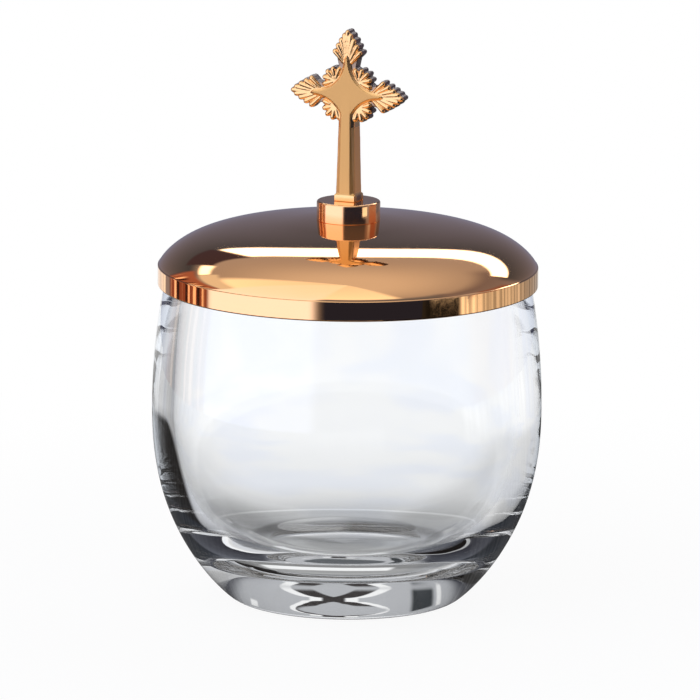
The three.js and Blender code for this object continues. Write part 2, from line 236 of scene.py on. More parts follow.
# A body turned about Z from (radius, height) pairs; the ends lie on the axis or meet
def turned(name, profile, steps, shift=None):
    rings, vertices = [], []
    closed = profile[0][0] > 0
    for radius, height in profile:
        ring = []
        for i in range(steps if radius > ON_AXIS else 1):
            a = 2 * math.pi * i / steps
            point = Vector((radius * math.sin(a), -radius * math.cos(a), height))
            ring.append(len(vertices))
            vertices.append(point + shift(point) if shift else point)
        rings.append(ring)
    pairs = list(zip(rings, rings[1:]))
    if closed:
        pairs.append((rings[-1], rings[0]))
    faces = []
    for low, high in pairs:
        for i in range(steps):
            j = (i + 1) % steps
            if len(low) == 1:
                faces.append((low[0], high[j], high[i]))
            elif len(high) == 1:
                faces.append((low[i], low[j], high[0]))
            else:
                faces.append((low[i], low[j], high[j], high[i]))
    return new_object(name, vertices, faces)


# Glass bowl

def side_radius(height):
    up = height / BELLY_HEIGHT
    swell = (1 - (1 - up) ** BELLY_POWER) ** BELLY_FULLNESS
    return lerp(FOOT_RADIUS, BELLY_RADIUS, swell)


def glass_profile():
    ring_outside = FOOT_RADIUS - FOOT_EDGE
    ring_inside = ring_outside - FOOT_RING_WIDTH
    points = []
    for s in shares(PUNT_STEPS):
        a = s * math.pi / 2
        points.append((ring_inside * math.sin(a), PUNT_DEPTH * math.cos(a) ** 2))
    edge_radius = side_radius(FOOT_EDGE)
    for s in shares(FOOT_EDGE_STEPS)[:-1]:
        r = lerp(lerp(ring_outside, FOOT_RADIUS, s), lerp(FOOT_RADIUS, edge_radius, s), s)
        points.append((r, lerp(0, FOOT_EDGE, s * s)))
    for s in shares(SIDE_STEPS):
        height = lerp(FOOT_EDGE, BELLY_HEIGHT, s ** SIDE_CROWDING)
        points.append((side_radius(height), height))
    for s in shares(SHOULDER_STEPS)[1:]:
        points.append((lerp(BELLY_RADIUS, NECK_RADIUS, s ** SHOULDER_POWER),
                       lerp(BELLY_HEIGHT, LID_EDGE, s)))
    points += arc(LIP_RADIUS - LIP_ROUND, LIP_HEIGHT, LIP_ROUND, 0, 180, LIP_STEPS)[:-1]
    inside = BELLY_RADIUS - BELLY_WALL
    for s in reversed(shares(SHOULDER_STEPS)):
        points.append((lerp(inside, LIP_RADIUS - LIP_WALL, s ** SHOULDER_POWER),
                       lerp(BELLY_HEIGHT, LIP_HEIGHT, s)))
    for s in shares(BOWL_STEPS)[1:]:
        a = s * math.pi / 2
        r = inside * max(0, math.cos(a)) ** (2 / FLOOR_FLATNESS)
        points.append((0 if s == 1 else r, lerp(BELLY_HEIGHT, FLOOR_HEIGHT, math.sin(a))))
    return points


# Slow waves of pressed glass in its lower half, always inwards, with none at the foot
def ripple(point):
    radius = math.hypot(point.x, point.y)
    if radius < ON_AXIS:
        return Vector()
    over_foot = min(1, max(0, (point.z - RIPPLE_START) / RIPPLE_RISE))
    under_top = min(1, max(0, (RIPPLE_TOP - point.z) / RIPPLE_FALL))
    wave = noise.noise(point / RIPPLE_LENGTH) - 1
    return Vector((point.x, point.y, 0)) / radius * (wave * RIPPLE * (over_foot * under_top))


bowl = turned("glass_body", glass_profile(), GLASS_STEPS, ripple)
smooth(bowl, GLASS_SHARP)


# Lid

def dome(radius, base, top, steps):
    points = []
    rise = top - base - CROWN_SLOPE * (radius - CROWN_FLAT)
    for s in shares(steps):
        a = s * math.pi / 2
        out = math.sin(a) ** (2 / DOME_ROUNDNESS)
        fall = max(0, math.cos(a)) ** (2 * DOME_FALL)
        r = lerp(CROWN_FLAT, radius, out)
        points.append((r, base + rise * fall + CROWN_SLOPE * (radius - r)))
    return points


def lid_profile():
    band_top = LID_EDGE + BAND_HEIGHT
    outside = dome(DOME_RADIUS, band_top, CROWN, DOME_STEPS)
    outside[-1] = (DOME_RADIUS, band_top)
    inside = dome(DOME_RADIUS - LID_WALL, band_top - BAND_STEP, CROWN - LID_WALL,
                  DOME_INSIDE_STEPS)
    return [
        (BAND_INSIDE, LID_EDGE + BAND_EDGE),
        *arc(BAND_INSIDE + BAND_INNER_EDGE, LID_EDGE + BAND_INNER_EDGE, BAND_INNER_EDGE,
             180, 270, SMALL_EDGE_STEPS),
        *arc(BAND_OUTSIDE - BAND_EDGE, LID_EDGE + BAND_EDGE, BAND_EDGE, -90, 0, EDGE_STEPS),
        (BAND_OUTSIDE, LID_EDGE + BAND_EDGE + FLAT_START),
        (BAND_OUTSIDE, band_top - BAND_STEP - FLAT_START),
        *arc(BAND_OUTSIDE - STEP_ROUND, band_top - BAND_STEP, STEP_ROUND,
             0, STEP_ROUND_END, STEP_ROUND_STEPS),
        *reversed(outside),
        (HOLE_RADIUS, CROWN),
        (HOLE_RADIUS, CROWN - LID_WALL),
        *inside,
        (BAND_INSIDE, band_top - 2 * BAND_STEP),
    ]


lid = turned("lid_dome", lid_profile(), LID_STEPS)
smooth(lid, METAL_SHARP)


# Collar and fixing

def collar_profile():
    r, low, high = COLLAR_RADIUS, collar_low.z, collar_high.z
    edge, under = COLLAR_EDGE, COLLAR_UNDER_EDGE
    return [
        (HOLE_RADIUS, low),
        *arc(r - under, low + under, under, -90, 0, SMALL_EDGE_STEPS),
        (r, low + under + FLAT_START),
        (r, high - edge - FLAT_START),
        *arc(r - edge, high - edge, edge, 0, 90, EDGE_STEPS),
        (r - edge - FLAT_START, high),
        (HOLE_RADIUS, high),
    ]


collar = turned("collar_turned", collar_profile(), COLLAR_STEPS)
smooth(collar, METAL_SHARP)


def washer_profile():
    r, low, high, edge = washer_high.y, washer_low.z, washer_high.z, WASHER_EDGE
    return [
        (HOLE_RADIUS, low),
        *arc(r - edge, low + edge, edge, -90, 0, WASHER_EDGE_STEPS),
        *arc(r - edge, high - edge, edge, 0, 90, WASHER_EDGE_STEPS),
        (HOLE_RADIUS, high),
    ]


washer = turned("washer_flat", washer_profile(), WASHER_STEPS)
smooth(washer, METAL_SHARP)


# The cross, as one casting

FRONT = Vector((0, -1, 0))
MIDDLE = Vector((0, 0, CENTRE))


def level(height, outline):
    return [Vector((x, y, height)) for x, y in outline]


def loft(name, sections):
    count = len(sections[0])
    vertices = [point for section in sections for point in section]
    faces = [tuple(range(count))[::-1], tuple(range(len(vertices) - count, len(vertices)))]
    for i in range(len(sections) - 1):
        for j in range(count):
            a, b = i * count + j, i * count + (j + 1) % count
            faces.append((a, b, b + count, a + count))
    return new_object(name, vertices, faces)


# A point in the plane of the cross, along an arm that is turned from the one to the right
def arm_point(turn, along, across):
    a = math.radians(turn)
    flat = Vector((along * math.cos(a) - across * math.sin(a), 0,
                   along * math.sin(a) + across * math.cos(a)))
    return MIDDLE + flat


def flute(root, tip):
    along = (tip - root).normalized()
    right = FRONT.cross(along)
    length = (tip - root).length - FLUTE_WIDTH
    sections = []

    def section(at, wide, deep):
        outline = []
        for s in shares(FLUTE_SIDES)[:-1]:
            a = s * 2 * math.pi
            x = math.copysign(abs(math.cos(a)) ** FLUTE_SQUARENESS, math.cos(a))
            y = math.copysign(abs(math.sin(a)) ** FLUTE_SQUARENESS, math.sin(a))
            outline.append(root + along * at + right * (wide * x) + FRONT * (deep * y))
        sections.append(outline)

    for at, width, depth in FLUTE_BODY:
        section(length * at, FLUTE_WIDTH * width, lerp(FLUTE_ROOT_DEPTH, FLUTE_TIP_DEPTH, depth))
    for s in FLUTE_END:
        a = s * math.pi / 2
        deep = FLUTE_TIP_DEPTH * (1 - FLUTE_END_DROP * (1 - math.cos(a)))
        section(length + FLUTE_WIDTH * math.sin(a), FLUTE_WIDTH * math.cos(a), deep)
    return loft("flute", sections)


# An outline moved inwards, with a limit to how far its sharp corners go
def inset(points, amount):
    moved = []
    for i, here in enumerate(points):
        before, after = points[i - 1], points[(i + 1) % len(points)]
        n1 = (here - before).normalized().cross(FRONT)
        n2 = (after - here).normalized().cross(FRONT)
        mid = (n1 + n2).normalized()
        moved.append(here - mid * (amount / max(LEAST_MITRE, mid.dot(n1))))
    return moved


def plate(points, depth, bevel=0):
    def at(outline, y):
        return [point + FRONT * y for point in outline]
    if not bevel:
        return loft("plate", [at(points, -depth), at(points, depth)])
    small = inset(points, bevel)
    low = depth - bevel
    return loft("plate", [at(small, -depth), at(points, -low), at(points, low), at(small, depth)])


def arm_fan(turn, reach):
    sides = [2 * s - 1 for s in shares(2 * FAN_SIDE_FLUTES)]
    made, web = [], []
    for side in sides:
        along = reach - FAN_SWEEP * abs(side) ** FAN_SWEEP_POWER
        across = FAN_HALF_WIDTH * side
        root = reach - FAN_LENGTH + FAN_ROOT_STEP * FAN_SIDE_FLUTES * (1 - abs(side))
        made.append(flute(arm_point(turn, root, PANEL_TIP * side), arm_point(turn, along, across)))
        inner = 1 - FLUTE_WIDTH / FAN_HALF_WIDTH
        web.append(arm_point(turn, along - FLUTE_WIDTH, across * inner))
    outline = [arm_point(turn, 0, -PANEL_TIP), *web, arm_point(turn, 0, PANEL_TIP)]
    return [plate(outline, WEB_DEPTH), *made]


def corner_fan(turn):
    length = CORNER_REACH - CORNER_ROOT
    root = arm_point(turn, CORNER_ROOT, 0)
    tips = []
    for s in shares(CORNER_FLUTES - 1):
        a = math.radians((s - 0.5) * CORNER_SPREAD)
        tips.append(arm_point(turn, CORNER_ROOT + length * math.cos(a), length * math.sin(a)))
    web = [tip.lerp(root, FLUTE_WIDTH / length) for tip in tips]
    return [plate([MIDDLE, *web], WEB_DEPTH), *(flute(root, tip) for tip in tips)]


# The panel's hollow sides are arcs round (c, c) and its three mirror images
def panel_arc():
    c = ((PANEL_REACH ** 2 + PANEL_TIP ** 2 - 2 * PANEL_WAIST ** 2)
         / (2 * (PANEL_REACH + PANEL_TIP - 2 * PANEL_WAIST)))
    return c, math.sqrt(2) * (c - PANEL_WAIST)


def panel():
    c, radius = panel_arc()
    start = math.atan2(PANEL_TIP - c, PANEL_REACH - c)
    end = math.atan2(PANEL_REACH - c, PANEL_TIP - c) - 2 * math.pi
    points = []
    for turn in (0, 90, 180, 270):
        points.append(arm_point(turn, PANEL_REACH + PANEL_NOSE, 0))
        for s in shares(PANEL_SIDE_STEPS):
            a = lerp(start, end, s)
            points.append(arm_point(turn, c + radius * math.cos(a), c + radius * math.sin(a)))
    return plate(points, FACE_DEPTH, PANEL_BEVEL)


def stem():
    def outline(wide, deep, flat):
        edge = deep - STEM_BEVEL
        return [(wide, -edge), (wide, edge), (flat, deep), (-flat, deep),
                (-wide, edge), (-wide, -edge), (-flat, -deep), (flat, -deep)]
    return loft("stem", [level(STEM_START, outline(*STEM_FOOT)), level(CENTRE, outline(*STEM_TOP))])


def plinth():
    def square(cut):
        x, y = PLINTH_HALF_WIDTH - cut, PLINTH_HALF_DEPTH - cut
        return [(x, -y), (x, y), (-x, y), (-x, -y)]
    return loft("plinth", [level(collar_high.z, square(0)),
                           level(PLINTH_TOP - PLINTH_CHAMFER, square(0)),
                           level(PLINTH_TOP, square(PLINTH_CHAMFER))])


def post():
    return turned("post", [(0, cross_low.z), (POST_RADIUS, cross_low.z),
                           (POST_RADIUS, STEM_START), (0, STEM_START)], POST_STEPS)


# One skin round overlapping bodies, with the soft edges of a polished casting
def cast(name, bodies):
    bpy.ops.object.select_all(action="DESELECT")
    for body in bodies:
        body.select_set(True)
    obj = bodies[0]
    bpy.context.view_layer.objects.active = obj
    bpy.ops.object.join()
    obj.name = obj.data.name = name
    remesh = obj.modifiers.new("skin", "REMESH")
    remesh.mode = "VOXEL"
    remesh.voxel_size = CAST_VOXEL * MM
    bpy.ops.object.modifier_apply(modifier=remesh.name)
    soften = obj.modifiers.new("soften", "SMOOTH")
    soften.factor = CAST_SOFTENING
    soften.iterations = CAST_SMOOTHING
    bpy.ops.object.modifier_apply(modifier=soften.name)
    obj.data.shade_smooth()
    return obj


fans = [*arm_fan(0, ARM_REACH), *arm_fan(90, TOP_REACH), *arm_fan(180, ARM_REACH)]
for corner in (45, 135, 225, 315):
    fans += corner_fan(corner)
cross = cast("cross_cast", [panel(), stem(), plinth(), post(), *fans])

# Camera
turn, tilt = math.radians(CAMERA_TURN), math.radians(CAMERA_TILT)
toward = Vector((math.sin(turn), -math.cos(turn), 0))
aside = Vector((math.cos(turn), math.sin(turn), 0))
back = toward * math.cos(tilt) + Vector((0, 0, math.sin(tilt)))
aim = Vector((0, 0, CAMERA_AIM)) + aside * CAMERA_ASIDE
lens = bpy.data.cameras.new("camera")
lens.sensor_width = SENSOR
lens.lens = LENS
lens.clip_start, lens.clip_end = CAMERA_CLIP
camera = bpy.data.objects.new("camera", lens)
bpy.context.scene.collection.objects.link(camera)
facing = (-back).to_track_quat("-Z", "Y").to_matrix().to_4x4()
roll = Matrix.Rotation(math.radians(CAMERA_ROLL), 4, "Z")
camera.matrix_world = Matrix.Translation((aim + back * CAMERA_DISTANCE) * MM) @ facing @ roll
bpy.context.scene.camera = camera


# A graph of nodes. Each call adds nodes and gives back the socket with their result; what goes in
# may be sockets or numbers.
class Graph:
    def __init__(self, tree):
        self.nodes, self.links = tree.nodes, tree.links

    # The outputs of a node that takes nothing in
    def source(self, kind):
        return self.nodes.new(kind).outputs

    def feed(self, socket, value):
        if isinstance(value, bpy.types.NodeSocket):
            self.links.new(value, socket)
        else:
            socket.default_value = value

    def calculate(self, kind, operation, values):
        node = self.nodes.new(kind)
        node.operation = operation
        for socket, value in zip(node.inputs, values):
            self.feed(socket, value)
        return node.outputs

    def math(self, operation, *values):
        return self.calculate("ShaderNodeMath", operation, values)["Value"]

    def vector(self, operation, *values):
        outputs = self.calculate("ShaderNodeVectorMath", operation, values)
        return outputs["Value" if operation in ("DOT_PRODUCT", "LENGTH") else "Vector"]

    def product(self, value, *factors):
        for factor in factors:
            value = self.math("MULTIPLY", value, factor)
        return value

    def hypot(self, a, b):
        return self.math("SQRT", self.math("ADD", self.product(a, a), self.product(b, b)))

    # Turn of a direction from the camera's side, growing to the camera's right
    def azimuth(self, direction):
        beside, before = (self.vector("DOT_PRODUCT", direction, way) for way in (aside, toward))
        return self.math("DEGREES", self.math("ARCTAN2", beside, before))

    # Noise in space, or along a line where the place is a number
    def noise(self, place, scale, detail=2, line=False):
        node = self.nodes.new("ShaderNodeTexNoise")
        if line:
            node.noise_dimensions = "1D"
        node.inputs["Scale"].default_value = scale
        node.inputs["Detail"].default_value = detail
        self.links.new(place, node.inputs["W" if line else "Vector"])
        return node.outputs["Fac"]

    # From low to high while a value goes from start to end, which may lie below start
    def fade(self, value, start, end, low=0, high=1, smooth=True):
        node = self.nodes.new("ShaderNodeMapRange")
        node.interpolation_type = "SMOOTHSTEP" if smooth else "LINEAR"
        for name, number in (("Value", value), ("From Min", start), ("From Max", end),
                             ("To Min", low), ("To Max", high)):
            self.feed(node.inputs[name], number)
        return node.outputs["Result"]

    # A value times a factor where a mask is 1
    def times(self, value, mask, factor):
        return self.product(value, self.fade(mask, 0, 1, 1, factor, smooth=False))

    # One colour where a share is 0 and another where it is 1
    def mix(self, share, low, high):
        node = self.nodes.new("ShaderNodeMix")
        node.data_type = "RGBA"
        self.feed(node.inputs["Factor"], share)
        for socket, value in ((node.inputs["A"], low), (node.inputs["B"], high)):
            self.feed(socket, value if isinstance(value, bpy.types.NodeSocket) else (*value, 1))
        return node.outputs["Result"]

    # 1 between two values, 0 outside, with soft edges; turns wrap round at 180 degrees
    def window(self, value, low, high, soft, turning=False):
        off = self.math("SUBTRACT", value, (low + high) / 2)
        if turning:
            off = self.math("WRAP", off, 180, -180)
        half = (high - low) / 2
        return self.fade(self.math("ABSOLUTE", off), half + soft / 2, half - soft / 2)


# The graph of a material, with the inputs of its shader
class Look(Graph):
    def __init__(self, name):
        self.material = bpy.data.materials.new(name)
        self.material.use_nodes = True
        super().__init__(self.material.node_tree)
        self.shader = self.nodes["Principled BSDF"]

    def set(self, name, value):
        self.feed(self.shader.inputs[name], value)

    # Another value for an input where a mask is 1
    def blend(self, name, mask, value):
        now = self.shader.inputs[name].links[0].from_socket
        if isinstance(value, tuple):
            self.set(name, self.mix(mask, now, value))
        else:
            self.set(name, self.fade(mask, 0, 1, now, value, smooth=False))

    # X, Y and Z on the object, in millimetres
    def spot(self):
        place = self.source("ShaderNodeTexCoord")["Object"]
        parts = self.nodes.new("ShaderNodeSeparateXYZ")
        self.links.new(self.vector("DIVIDE", place, (MM, MM, MM)), parts.inputs[0])
        return parts.outputs


# Metals: pairs of colours that cloud into each other, ranges of roughness, and grains, each with
# its scale, its depth in metres and its detail
GOLD = ((0.98, 0.56, 0.265), (0.955, 0.525, 0.235))
SATIN_GOLD = ((0.95, 0.56, 0.235), (0.9, 0.52, 0.21))
BRASS = ((0.75, 0.55, 0.28), (0.7, 0.5, 0.25))
ZINC = ((0.62, 0.62, 0.64), (0.55, 0.55, 0.58))
COLLAR_ROUGHNESS = (0.09, 0.12)
LID_ROUGHNESS = (0.03, 0.05)
CAST_ROUGHNESS = (0.17, 0.22)
ZINC_ROUGHNESS = (0.25, 0.4)
BRASS_ROUGHNESS = (0.2, 0.3)
POLISHED_GRAIN = (900, 8e-7, 4)
CAST_GRAIN = (700, 1e-6, 1)
TURNED_GRAIN = (900, 2e-6, 4)
METAL_CLOUDS = (60, 3)
NOISE_MIDDLE = (0.35, 0.65)
DULL_METAL = (0.42, 0.4, 0.38)
DULL_ROUGHNESS = 0.5

# Glass: two colours, nearly the same, and their clouds
CLEAR = ((0.985, 0.99, 0.995), (0.975, 0.985, 0.992))
GLASS_CLOUDS = (25, 3)
GLASS_IOR = 1.5

# Masks on the cross, each from where it starts to where it is full
# Painted shade: a darker gold for the raised flat faces, against which their edges look lit
RAISED_SHADED_GOLD = (0.66, 0.36, 0.12)
RAISED_ROUGHNESS = 0.4
RAISED_FACE = (FACE_DEPTH - 0.09, FACE_DEPTH - 0.05)
STEM_FACE = (STEM_FOOT[1] + 0.06, STEM_FOOT[1] + 0.02)
STEM_OVER_PLINTH = (PLINTH_TOP, PLINTH_TOP + 0.1)
STEM_UNDER_FANS = (CENTRE - 6, CENTRE - 6.2)
PANEL_SIDE_BLUR = 0.05
PANEL_END = (PANEL_REACH + 0.3, PANEL_REACH)
# Painted shade: dark grey for the fans' side faces, standing in for the dark that they mirror
EDGE_PAINTED_SHADE = (0.2, 0.17, 0.165)
EDGE_ROUGHNESS = 0.45
EDGE_DEPTH = (WEB_DEPTH * 1.1, WEB_DEPTH * 0.95)
EDGE_REACH = (4.2, 4.8)
STEM_SIDES = (2.1, 2.0)
STEM_HEAD = (CENTRE - 3, CENTRE - 4)


def metal(name, colours, roughness, grain):
    look = Look(name)
    place = look.source("ShaderNodeTexCoord")["Object"]
    look.set("Base Color", look.mix(look.noise(place, *METAL_CLOUDS), *colours))
    scale, depth, detail = grain
    fine = look.noise(place, scale, detail)
    look.set("Roughness", look.fade(fine, *NOISE_MIDDLE, *roughness, smooth=False))
    bump = look.nodes.new("ShaderNodeBump")
    for socket, value in (("Strength", 1), ("Distance", depth), ("Height", fine)):
        look.feed(bump.inputs[socket], value)
    look.set("Normal", bump.outputs["Normal"])
    look.set("Metallic", 1)
    return look


def clear_glass():
    look = Look("clear_glass")
    place = look.source("ShaderNodeTexCoord")["Object"]
    look.set("Base Color", look.mix(look.noise(place, *GLASS_CLOUDS), *CLEAR))
    look.set("Roughness", 0)
    look.set("IOR", GLASS_IOR)
    look.set("Transmission Weight", 1)
    return look


# The inside of the lid is left dull: where the skin faces a point under the crown
def dull_inside(look):
    place = look.source("ShaderNodeTexCoord")
    outward = look.vector("SUBTRACT", place["Object"], (0, 0, (LID_EDGE - LID_WALL) * MM))
    facing = look.vector("DOT_PRODUCT", outward, place["Normal"])
    inside = look.math("LESS_THAN", facing, 0)
    look.blend("Base Color", inside, DULL_METAL)
    look.blend("Roughness", inside, DULL_ROUGHNESS)


# The flat faces of panel and stem are rubbed down after casting, which makes them rougher; the
# raised faces are painted a darker gold, painted shade that leaves their rounded edges brighter
def rub_and_shade_faces(look):
    x, y, z = look.spot()
    depth = look.math("ABSOLUTE", y)
    raised = look.product(look.fade(depth, *RAISED_FACE, smooth=False),
                          look.fade(depth, *STEM_FACE, smooth=False))
    on_stem = look.product(look.fade(z, *STEM_OVER_PLINTH), look.fade(z, *STEM_UNDER_FANS))
    c, radius = panel_arc()
    beside = look.math("ABSOLUTE", x)
    above = look.math("ABSOLUTE", look.math("SUBTRACT", z, CENTRE))
    from_centre = look.hypot(*(look.math("SUBTRACT", c, value) for value in (beside, above)))
    in_arcs = look.fade(from_centre, radius - PANEL_SIDE_BLUR, radius + PANEL_SIDE_BLUR)
    on_panel = look.product(in_arcs, look.fade(look.math("MAXIMUM", beside, above), *PANEL_END))
    rubbed = look.math("MAXIMUM", look.math("MAXIMUM", raised, on_stem), on_panel)
    # Painted shade: a darker gold on the raised faces
    look.blend("Base Color", raised, RAISED_SHADED_GOLD)
    look.blend("Roughness", rubbed, RAISED_ROUGHNESS)


# Painted shade: the side faces round the fans' edge are painted dark grey, standing in for the dark
# that they mirror, and made rougher
def paint_edge_shade(look):
    x, y, z = look.spot()
    away, depth = look.math("ABSOLUTE", x), look.math("ABSOLUTE", y)
    out = look.hypot(look.math("SUBTRACT", z, CENTRE), away)
    on_stem = look.product(look.fade(away, *STEM_SIDES), look.fade(z, *STEM_HEAD))
    edge = look.product(look.fade(out, *EDGE_REACH), look.fade(depth, *EDGE_DEPTH),
                        look.math("SUBTRACT", 1, on_stem))
    # Painted shade on the fans' side faces
    look.blend("Base Color", edge, EDGE_PAINTED_SHADE)
    look.blend("Roughness", edge, EDGE_ROUGHNESS)


collar_gold = metal("collar_gold", GOLD, COLLAR_ROUGHNESS, POLISHED_GRAIN)
lid_gold = metal("lid_gold", GOLD, LID_ROUGHNESS, POLISHED_GRAIN)
dull_inside(lid_gold)
cast_gold = metal("cast_gold", SATIN_GOLD, CAST_ROUGHNESS, CAST_GRAIN)
rub_and_shade_faces(cast_gold)
paint_edge_shade(cast_gold)
glass = clear_glass()
steel = metal("zinc_steel", ZINC, ZINC_ROUGHNESS, TURNED_GRAIN)
brass = metal("turned_brass", BRASS, BRASS_ROUGHNESS, TURNED_GRAIN)

for obj, look, body, node, slot in (
    (bowl, glass, "cup", "glass_bowl", "clear_glass"),
    (lid, lid_gold, "lid", "lid_shell", "gold_plate"),
    (collar, collar_gold, "lid", "collar", "gold_plate"),
    (cross, cast_gold, "lid", "cross", "gold_plate"),
    (washer, brass, "lid", "flat_washer", "plain_brass"),
):
    obj.data.materials.clear()
    obj.data.materials.append(look.material)
    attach(obj, body)
    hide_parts(node)

for node, look in (("lock_washer", steel), ("cap_nut", brass)):
    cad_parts[node].material_slots[0].material = look.material

# World: white to the camera, and to everything else the studio round the cup. Each card has its
# left and right side, its low and high edge, its softness, and one colour, or the colours of its
# low and high edge. Azimuth is 0 at the camera and grows to its right, and elevation is 0 at the
# horizon.
WHITE = (1, 1, 1)
GREY_ROOM = ((0.43, 0.41, 0.46), (0.72, 0.7, 0.74))
GREY_ROOM_RISE = (40, 80)
STUDIO = {
    "top box": (-120, 40, 43, 95, 11, (1.45, 1.42, 1.35), WHITE),
    "front box": (-94, -20, -20, 95, 9, (1.4, 1.5, 2), (1.1, 1.2, 1.2)),
    "dark front": (-18, 76, -60, 47, 10, (0.02, 0.025, 0.06), (0.2, 0.22, 0.3)),
    "right wall": (66, 140, -60, 44, 12, (0.3, 0.3, 0.4), (0.2, 0.18, 0.23)),
    "brown corner": (80, 118, -60, 26, 8, (0.42, 0.2, 0.15), (0.25, 0.14, 0.14)),
    "dark corner": (122, 150, -60, -4, 8, (0.07, 0.09, 0.2)),
    "right strip": (76, 88, 8, 23, 6, (0.6, 0.65, 0.8), (0.45, 0.5, 0.7)),
    "back wall": (128, 234, -12, 33, 10, (0.2, 0.21, 0.3), (0.04, 0.055, 0.09)),
    "left corner": (-137, -94, -60, 32, 4, (0.28, 0.09, 0.06), (0.4, 0.16, 0.12)),
    "back strip": (132, 194, 28, 37.5, 2, (4, 4, 4)),
    "dark gap": (-165, -146, 26, 39, 2, (0.06, 0.045, 0.07)),
    "left bulb": (-145, -130, 34.5, 40, 3, (3, 3, 3)),
    "table behind": (120, 240, -95, -16, 6, WHITE),
    "low lamp": (52, 71, -30, -9.5, 4, (1.8, 1.8, 1.8)),
    "left upper": (-129, -94, 34, 44, 3, (0.85, 0.85, 0.85)),
}

# Upright folds of light and dark in the left corner: the scale and detail of their noise, their
# place, and each kind's range of the noise and colour
FOLDS = (0.22, 1)
FOLDS_ACROSS = (-138, -98, 3)
FOLDS_RISE = (-60, 24, 8)
BRIGHT_FOLDS = (0.56, 0.62, (1.3, 0.9, 0.7))
DARK_FOLDS = (0.44, 0.38, (0.04, 0.02, 0.02))

# What shows through the glass is paler, so that the cup stays clear before its white ground
GLASS_ROOM = (WHITE, (0.5, 0.51, 0.53))
GLASS_ROOM_RISE = (-7, 0)
GLASS_STUDIO = {
    "dark side": (-142, 142, -6, 52, 12, (0.035, 0.035, 0.045), (0.16, 0.17, 0.2)),
    "dark front": (-100, 84, -6, 48, 10, (0.01, 0.01, 0.012), (0.03, 0.035, 0.045)),
    "dark bar": (138, 222, 22, 38, 3, (0.12, 0.13, 0.14)),
    "right dark": (199, 207, 7, 14, 2, (0.05, 0.055, 0.06)),
    "right edge": (208.5, 210.5, 6, 15, 1, (0.9, 0.9, 0.9)),
    "left edge": (150, 153, 4, 9, 1, WHITE),
}

# The dark cross in the foot of the glass is painted into what the glass shows: painted shade for an
# arm that forks, with painted light for the white flanks beside it: each has its window across, its
# window of elevation and its colour. Light that goes a long way round in the glass is pale blue.
PAINTED_CROSS_TURN = 177
PAINTED_CROSS_FORK = 11
PAINTED_CROSS_OPENING = 5
PAINTED_CROSS_LIGHT = ((3, 6.5, 1), (7, 14.5, 2), WHITE)
PAINTED_CROSS_SHADE = ((-3, 3, 1.2), (4, 13.8, 1.5), (0.045, 0.04, 0.04))
LONG_WAY_ROUND = (25, 29)
LONG_WAY_LIGHT = (0.88, 0.93, 1)

world = bpy.data.worlds.new("studio")
bpy.context.scene.world = world
world.use_nodes = True
room = Graph(world.node_tree)
ray = room.source("ShaderNodeTexCoord")["Generated"]
azimuth = room.azimuth(ray)
elevation = room.math("ARCSINE", room.vector("DOT_PRODUCT", ray, (0, 0, 1)))
elevation = room.math("DEGREES", elevation)


# A card's two colours change from its low edge, or the horizon if that is higher, to its high edge
def with_cards(sky, cards):
    for left, right, low, high, soft, *colours in cards.values():
        card = colours[0]
        if len(colours) > 1:
            card = room.mix(room.fade(elevation, max(low, 0), max(high, 1), smooth=False), *colours)
        beside = room.window(azimuth, left, right, soft, turning=True)
        sky = room.mix(room.product(beside, room.window(elevation, low, high, soft)), sky, card)
    return sky


sky = with_cards(room.mix(room.fade(elevation, *GREY_ROOM_RISE), *GREY_ROOM), STUDIO)
folds = room.noise(azimuth, *FOLDS, line=True)
in_corner = room.product(room.window(azimuth, *FOLDS_ACROSS), room.window(elevation, *FOLDS_RISE))
for start, end, colour in (BRIGHT_FOLDS, DARK_FOLDS):
    sky = room.mix(room.product(in_corner, room.fade(folds, start, end)), sky, colour)

glass_sky = with_cards(room.mix(room.fade(elevation, *GLASS_ROOM_RISE), *GLASS_ROOM), GLASS_STUDIO)
# The painted cross: painted shade on its arms and painted light on its flanks, seen only through
# the glass
off = room.math("SUBTRACT", azimuth, PAINTED_CROSS_TURN)
off = room.math("ABSOLUTE", room.math("WRAP", off, 180, -180))
risen = room.math("MAXIMUM", room.math("SUBTRACT", elevation, PAINTED_CROSS_FORK), 0)
off = room.math("SUBTRACT", off, room.product(room.math("SQRT", risen), PAINTED_CROSS_OPENING))
for across, rise, colour in (PAINTED_CROSS_LIGHT, PAINTED_CROSS_SHADE):
    mask = room.product(room.window(off, *across), room.window(elevation, *rise))
    glass_sky = room.mix(mask, glass_sky, colour)

path = room.source("ShaderNodeLightPath")
glass_sky = room.mix(room.fade(path["Ray Depth"], *LONG_WAY_ROUND), glass_sky, LONG_WAY_LIGHT)
sky = room.mix(path["Is Transmission Ray"], sky, glass_sky)
sky = room.mix(path["Is Camera Ray"], sky, WHITE)
room.feed(room.nodes["Background"].inputs["Color"], sky)

# Floor: a pale disc that fades into the white round it, set off to the right, and longer in some
# sectors (start, end and least reach)
FLOOR_RADIUS = 304
FLOOR_SHIFT = 60
FLOOR_SHIFT_TURN = 128
FLOOR_SECTORS = ((44, 72, 346), (-180, -139, 345), (166, 180, 345))
FLOOR_STEP = 2
FLOOR_DROP = 0.05
FLOOR_PAINT = (0.85, 0.85, 0.85, 1)
FLOOR_ROUGHNESS = 0.9
FLOOR_FADE = (60, 190)
FLOOR_WHITE = 0.94

